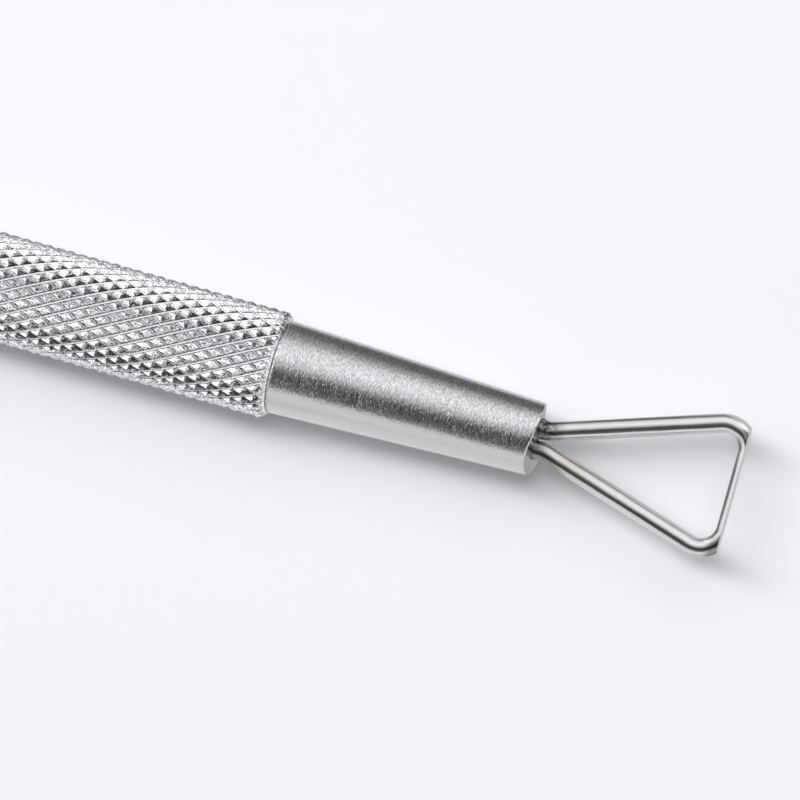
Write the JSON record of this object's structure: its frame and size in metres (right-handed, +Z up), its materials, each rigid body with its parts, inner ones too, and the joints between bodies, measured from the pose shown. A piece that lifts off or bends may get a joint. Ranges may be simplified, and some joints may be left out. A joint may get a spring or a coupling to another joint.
{
  "type": "gel nail scraper",
  "caption": "Hand tool with a knurled steel handle and a triangular wire loop whose front bar is ground flat to scrape gel polish off nails.",
  "frame": {"origin": "centre of the overall box, on the surface that the tool lies on", "axes": "+X along the handle towards the wire loop, +Y across the loop, +Z up, square to the loop's plane"},
  "size_m": [0.1304, 0.0104, 0.008],
  "materials": {
    "knurled_steel": "bright diamond knurl with sharp shiny points",
    "brushed_steel": "fine brushing round the axis",
    "polished_wire": "polished wire with faint drawing lines, ground flat at the front",
    "silver_braze": "dull, rough and slightly heat-stained"
  },
  "bodies": {
    "root": {"knurled_grip": "knurled_steel", "nose_ferrule": "brushed_steel", "tail_ferrule": "brushed_steel", "wire_loop": "polished_wire", "braze_fill": "silver_braze"}
  },
  "joints": []
}
